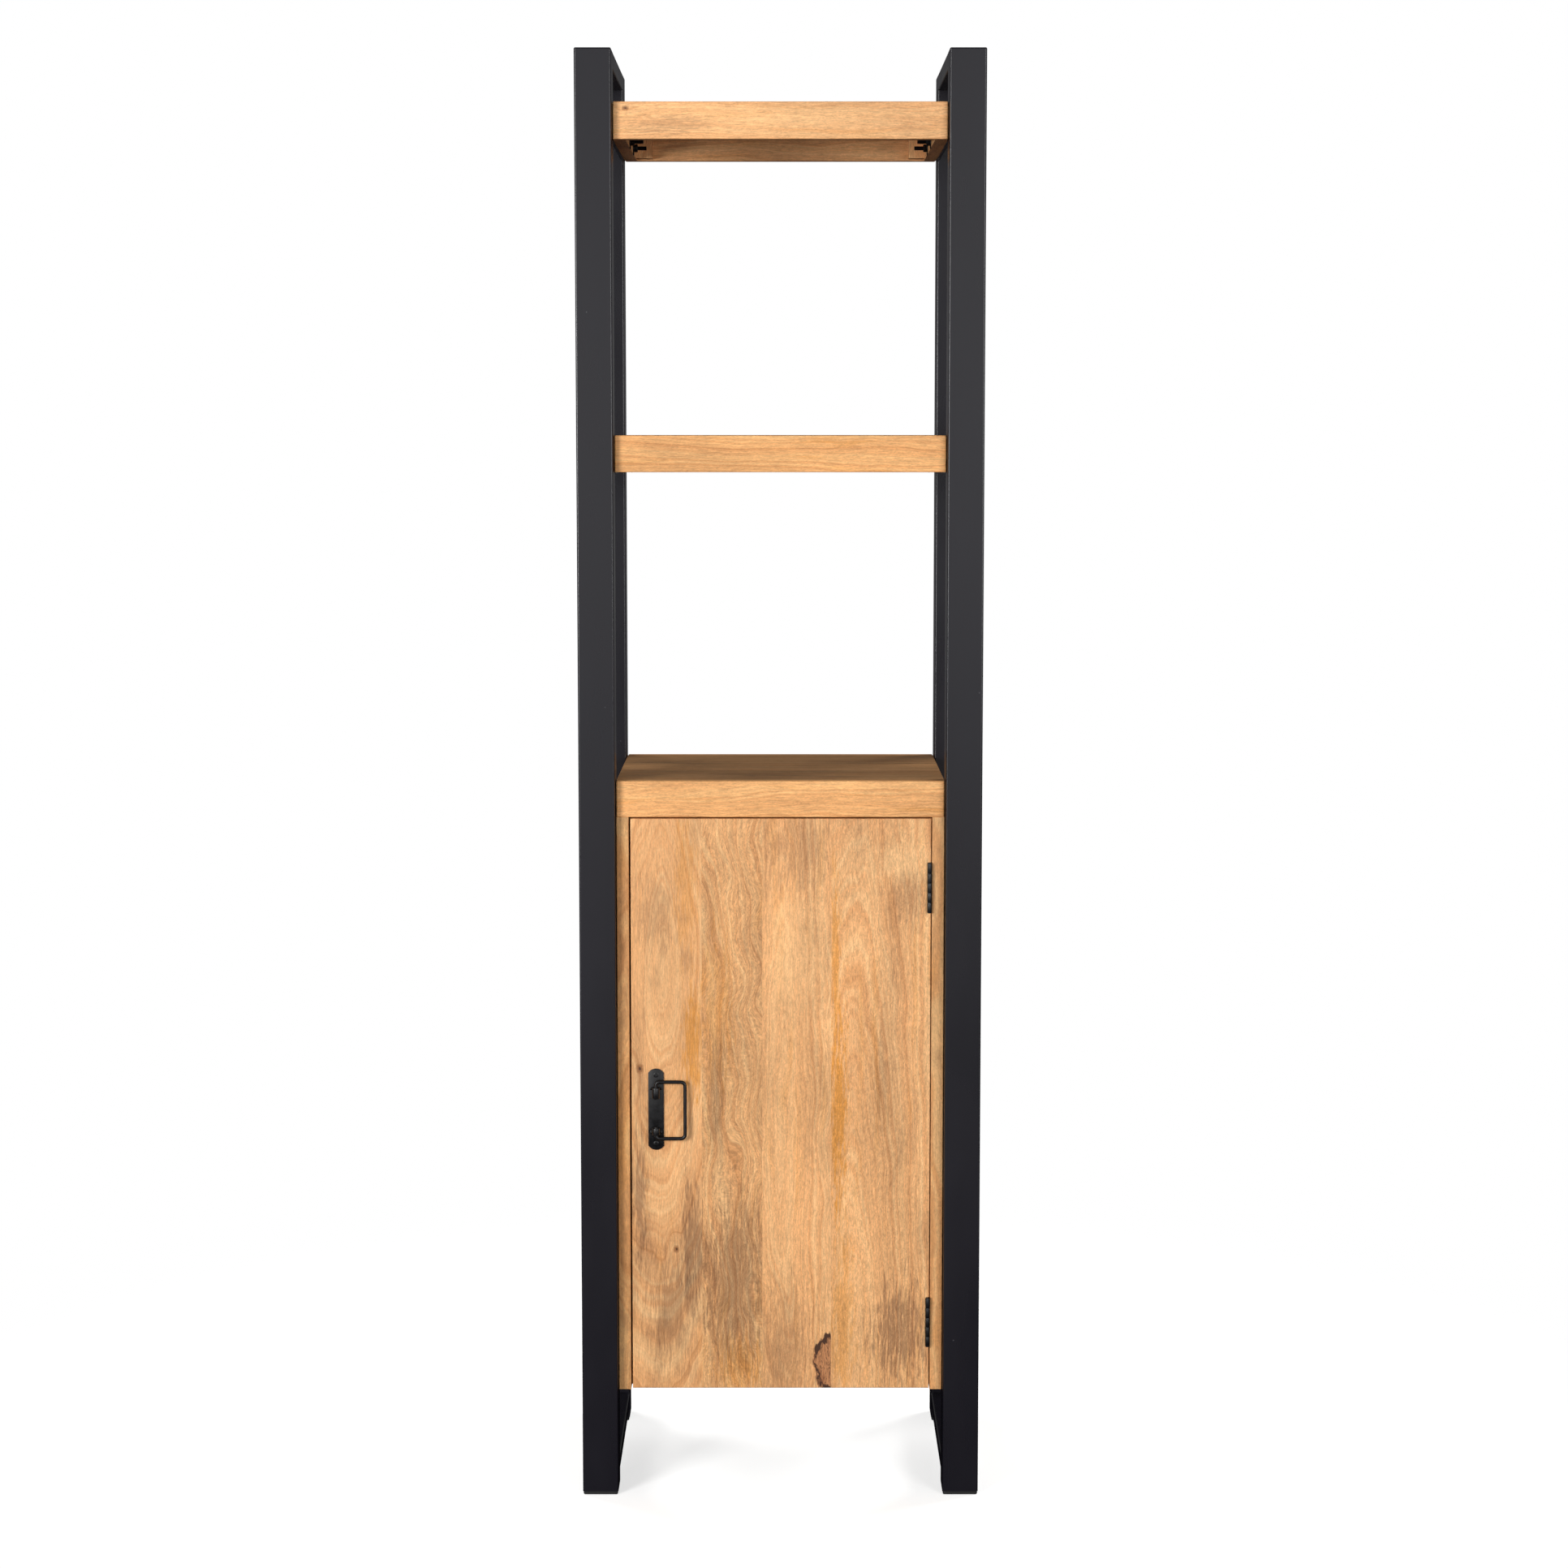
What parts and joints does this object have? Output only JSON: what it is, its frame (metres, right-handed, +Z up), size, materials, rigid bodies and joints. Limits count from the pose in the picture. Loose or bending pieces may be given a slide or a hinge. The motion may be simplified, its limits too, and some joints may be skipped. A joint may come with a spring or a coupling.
{
  "type": "bookcase",
  "caption": "Tall narrow open bookcase with two black steel end frames, two open wooden box shelves and a cupboard below with a hinged door and a bail handle.",
  "frame": {"origin": "on the floor, under the middle of the bookcase's width and depth", "axes": "+Z up along the posts, the door faces -Y, +X to the right as seen from the front, where the door's hinges are"},
  "size_m": [0.555, 0.38, 2],
  "materials": {
    "black_steel": "matte fine-textured powder coat",
    "black_iron": "satin black lacquer on iron",
    "mango_wood": "satin lacquer",
    "dowel_beech": "raw turned beech",
    "nickel_steel": "nickel plated",
    "glide_plastic": "moulded matte",
    "catch_plastic": "moulded satin"
  },
  "bodies": {
    "cabinet_frame": {"cabinet_back": "mango_wood", "cabinet_floor": "mango_wood", "cabinet_hinge_screws": "black_iron", "cabinet_left_side": "mango_wood", "cabinet_right_side": "mango_wood", "cabinet_straps": "black_steel", "cabinet_top_back_apron": "mango_wood", "cabinet_top_board": "mango_wood", "cabinet_top_corner_blocks": "mango_wood", "cabinet_top_front_apron": "mango_wood", "cabinet_top_left_apron": "mango_wood", "cabinet_top_right_apron": "mango_wood", "carcass_dowels": "dowel_beech", "catch_screws": "nickel_steel", "floor_glides": "glide_plastic", "frame_bolts": "black_iron", "frame_nuts": "black_iron", "frame_washers": "black_iron", "left_back_post": "black_steel", "left_bottom_rail": "black_steel", "left_front_post": "black_steel", "left_top_rail": "black_steel", "lower_hinge_cabinet_leaf": "black_iron", "lower_hinge_pin": "black_iron", "magnetic_catch": "catch_plastic", "middle_shelf_back_apron": "mango_wood", "middle_shelf_board": "mango_wood", "middle_shelf_corner_blocks": "mango_wood", "middle_shelf_front_apron": "mango_wood", "middle_shelf_left_apron": "mango_wood", "middle_shelf_right_apron": "mango_wood", "middle_shelf_straps": "black_steel", "post_top_caps": "black_steel", "right_back_post": "black_steel", "right_bottom_rail": "black_steel", "right_front_post": "black_steel", "right_top_rail": "black_steel", "shelf_pins": "nickel_steel", "top_shelf_back_apron": "mango_wood", "top_shelf_board": "mango_wood", "top_shelf_corner_blocks": "mango_wood", "top_shelf_front_apron": "mango_wood", "top_shelf_left_apron": "mango_wood", "top_shelf_right_apron": "mango_wood", "top_shelf_straps": "black_steel", "upper_hinge_cabinet_leaf": "black_iron", "upper_hinge_pin": "black_iron"},
    "door": {"door_board_1": "mango_wood", "door_board_2": "mango_wood", "door_board_3": "mango_wood", "door_board_4": "mango_wood", "lower_hinge_door_leaf": "black_iron", "upper_hinge_door_leaf": "black_iron", "door_hinge_screws": "black_iron", "handle_plate": "black_iron", "handle_screws": "black_iron", "strike_plate": "nickel_steel", "strike_screw": "nickel_steel"},
    "handle_bail": {"handle_bail": "black_iron"},
    "inner_shelf": {"inner_shelf": "mango_wood"}
  },
  "joints": [
    {"name": "door_hinge", "type": "hinge", "parent": "cabinet_frame", "child": "door", "pos_m": [0.2062, -0.1786, 0.5528], "axis": [0, 0, 1], "range_deg": [0, 150]},
    {"name": "handle_swing", "type": "hinge", "parent": "door", "child": "handle_bail", "pos_m": [-0.173, -0.184, 0.5485], "axis": [0, 0, -1], "range_deg": [0, 175]},
    {"name": "inner_shelf_lift", "type": "slide", "parent": "cabinet_frame", "child": "inner_shelf", "axis": [0, 0, 1], "range_m": [0, 0.05]}
  ]
}
